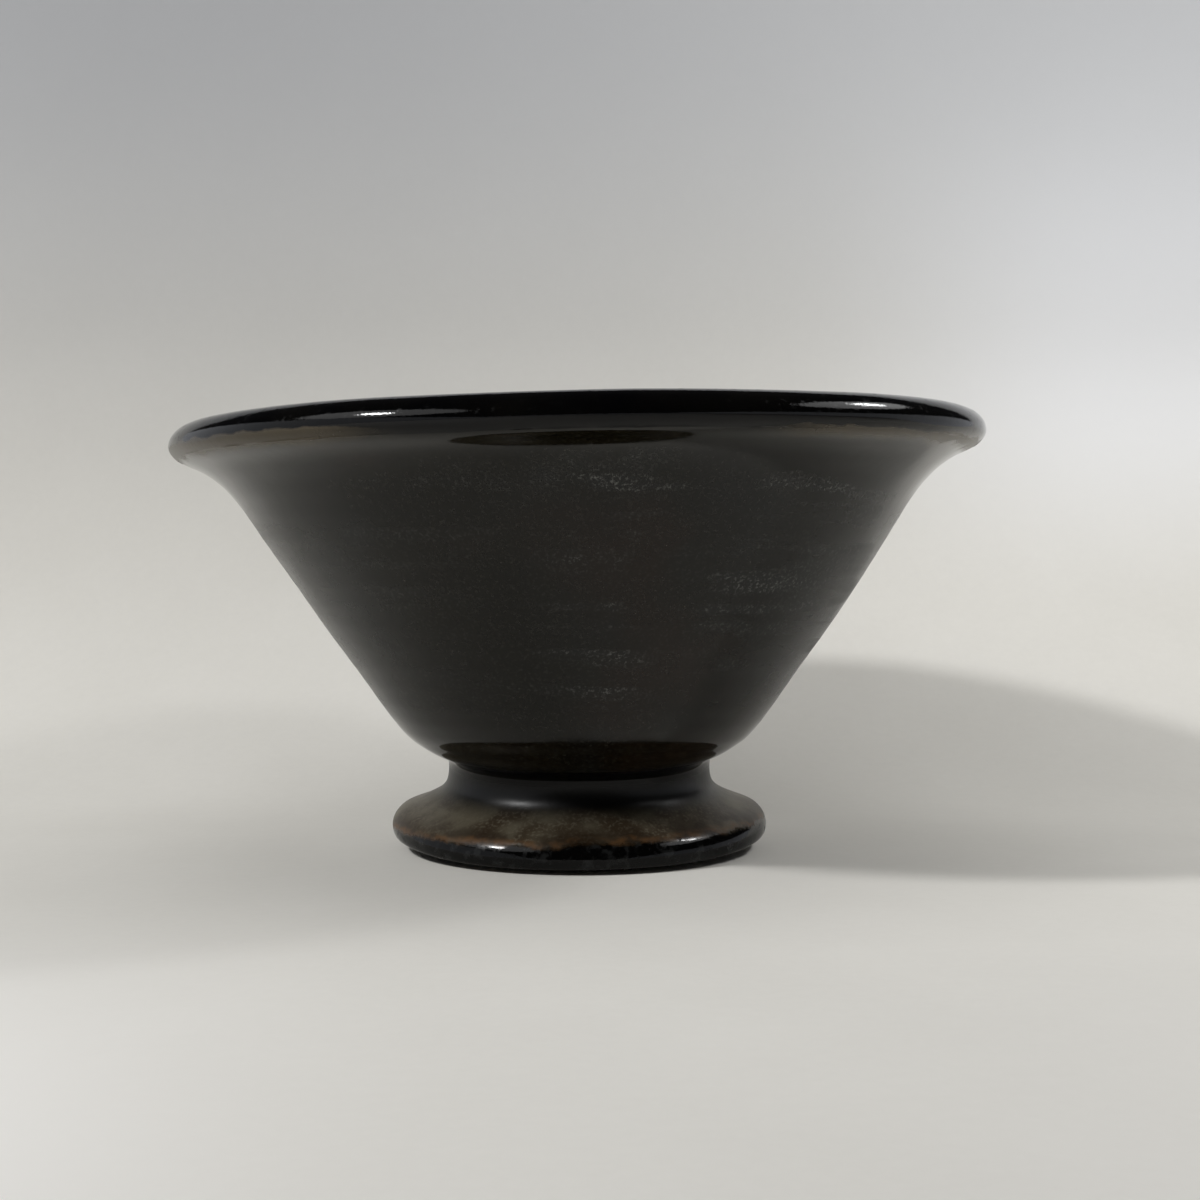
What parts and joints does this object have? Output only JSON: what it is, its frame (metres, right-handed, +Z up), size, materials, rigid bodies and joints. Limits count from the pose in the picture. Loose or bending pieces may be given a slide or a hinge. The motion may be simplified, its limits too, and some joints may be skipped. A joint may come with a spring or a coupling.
{
  "type": "stoneware bowl",
  "caption": "Round stoneware bowl with a flaring wall and thick rolled lip on a waisted pedestal foot, glazed dark brown-black inside and out, for holding food or small things.",
  "frame": {"origin": "middle of the bare ring under the foot, on the surface that the bowl stands on", "axes": "+Z up along the axis that the bowl was thrown on; +X and +Y are alike, and the picture looks along +Y"},
  "size_m": [0.165, 0.165, 0.088],
  "materials": {
    "stoneware": "matte",
    "slip": "matte",
    "black_glaze": "polished",
    "brown_glaze": "polished",
    "bronze_glaze": "satin"
  },
  "bodies": {
    "root": {"bowl_body": "stoneware", "pedestal_foot": "stoneware", "luting_slip": "slip", "liner_glaze": "black_glaze", "outer_glaze": "brown_glaze", "foot_glaze": "bronze_glaze"}
  },
  "joints": []
}
